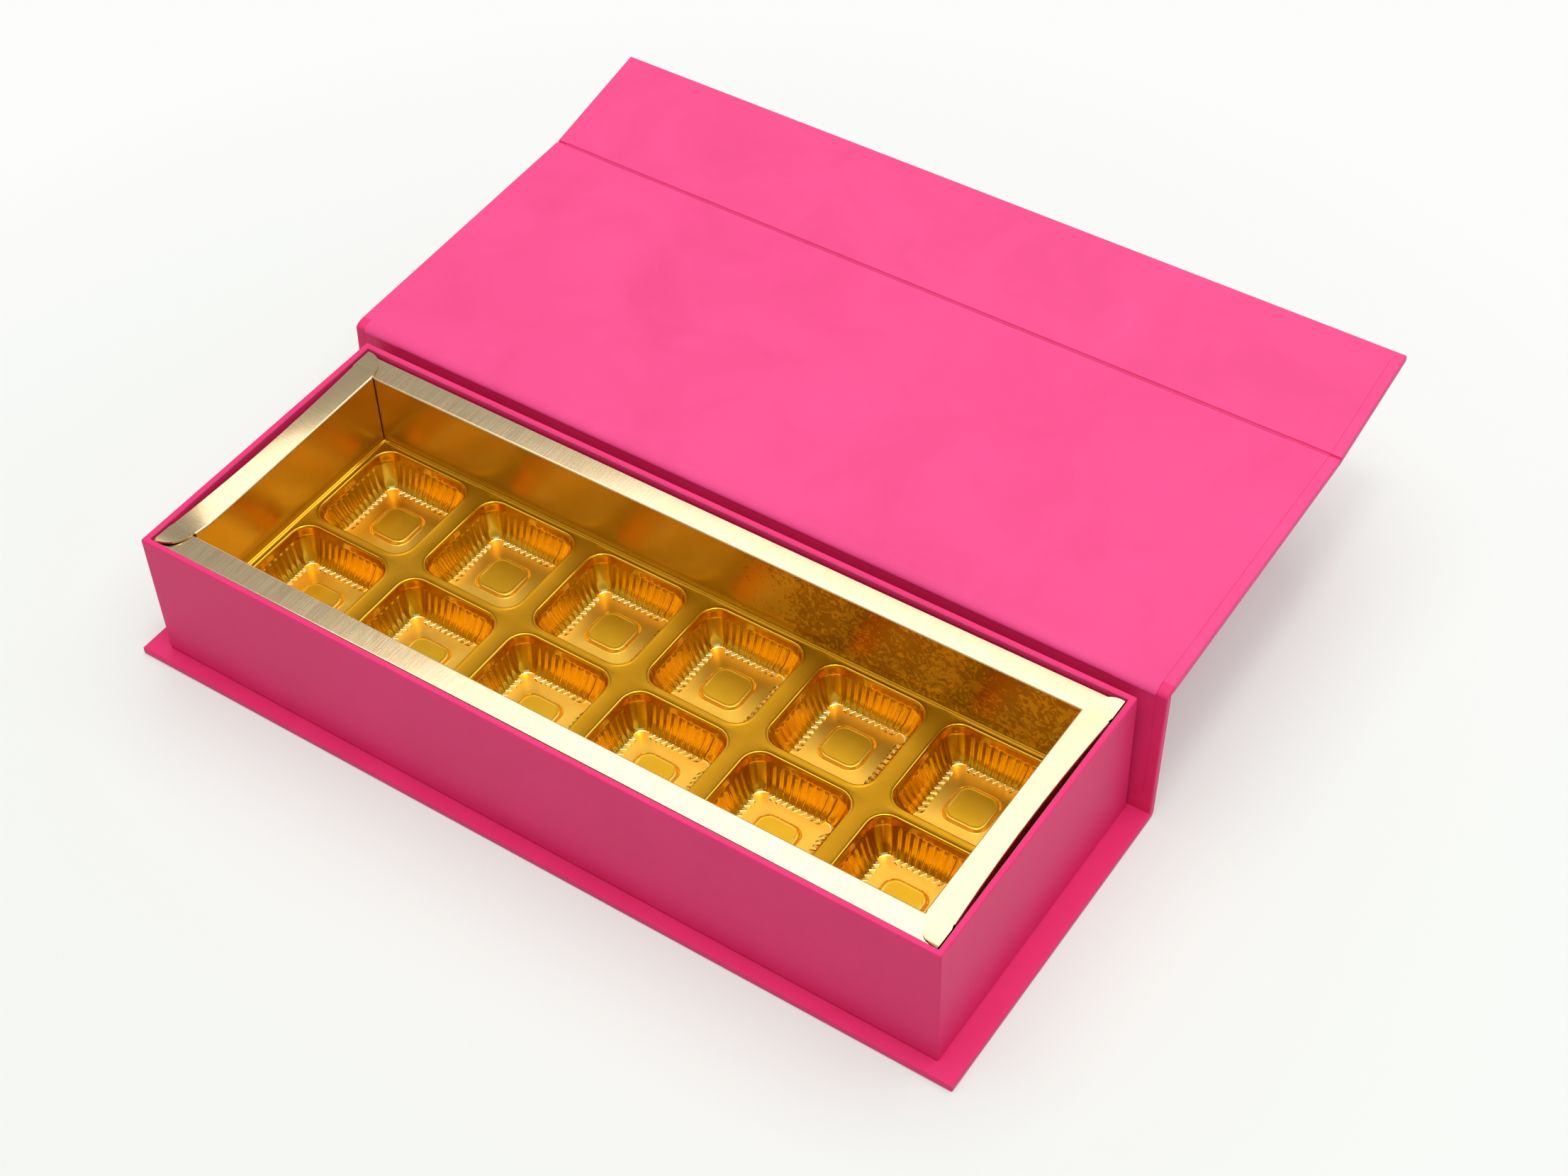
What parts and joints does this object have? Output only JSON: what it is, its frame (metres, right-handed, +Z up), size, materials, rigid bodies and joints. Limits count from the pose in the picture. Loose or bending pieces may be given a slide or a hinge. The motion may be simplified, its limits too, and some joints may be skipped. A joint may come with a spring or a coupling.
{
  "type": "chocolate box",
  "caption": "Book-style chocolate box: a paper-wrapped tray with a gold card frame and a moulded insert, on a folding cover whose lid ends in a magnetic front flap.",
  "frame": {"origin": "centre of the tray's footprint, on the underside of the base board, which the box stands on", "axes": "+X along the box's length, to the right as it is opened; +Y back towards the spine and the lid; +Z up"},
  "size_m": [0.2528, 0.2279, 0.0551],
  "materials": {
    "cover_paper": "matt laminated pink paper",
    "liner_paper": "matt laminated pink paper",
    "greyboard": "plain pressed board",
    "kraft_tape": "gummed paper tape",
    "gold_card": "gold metallised card, brushed look",
    "gold_plastic": "gold metallised film, glossy",
    "plated_steel": "nickel plated"
  },
  "bodies": {
    "tray": {"base_board": "greyboard", "base_cover": "cover_paper", "foot_fold_cover": "cover_paper", "tray_floor_board": "greyboard", "tray_front_board": "greyboard", "tray_back_board": "greyboard", "tray_left_board": "greyboard", "tray_right_board": "greyboard", "tray_wrap": "cover_paper", "corner_stays": "kraft_tape", "front_wall_keepers": "plated_steel", "frame_front": "gold_card", "frame_back": "gold_card", "frame_left": "gold_card", "frame_right": "gold_card", "blister_tray": "gold_plastic"},
    "spine": {"spine_board": "greyboard", "spine_cover": "cover_paper", "spine_liner": "liner_paper", "lid_fold_cover": "cover_paper", "lid_fold_liner": "liner_paper"},
    "lid": {"lid_board": "greyboard", "lid_cover": "cover_paper", "lid_liner": "liner_paper", "flap_fold_cover": "cover_paper", "flap_fold_liner": "liner_paper"},
    "flap": {"flap_board": "greyboard", "flap_cover": "cover_paper", "flap_liner": "liner_paper", "flap_magnets": "plated_steel"}
  },
  "joints": [
    {"name": "spine_hinge", "type": "hinge", "parent": "tray", "child": "spine", "pos_m": [0, 0.04652, 0.00122], "axis": [1, 0, 0], "range_deg": [-86.7, 3.3], "deforming": ["foot_fold_cover"]},
    {"name": "lid_hinge", "type": "hinge", "parent": "spine", "child": "lid", "pos_m": [0, 0.04901, 0.04433], "axis": [1, 0, 0], "range_deg": [-20, 175.05], "deforming": ["lid_fold_cover", "lid_fold_liner"]},
    {"name": "flap_hinge", "type": "hinge", "parent": "lid", "child": "flap", "pos_m": [0, 0.14077, 0.04777], "axis": [1, 0, 0], "range_deg": [-9.65, 80.35], "deforming": ["flap_fold_cover", "flap_fold_liner"]}
  ]
}
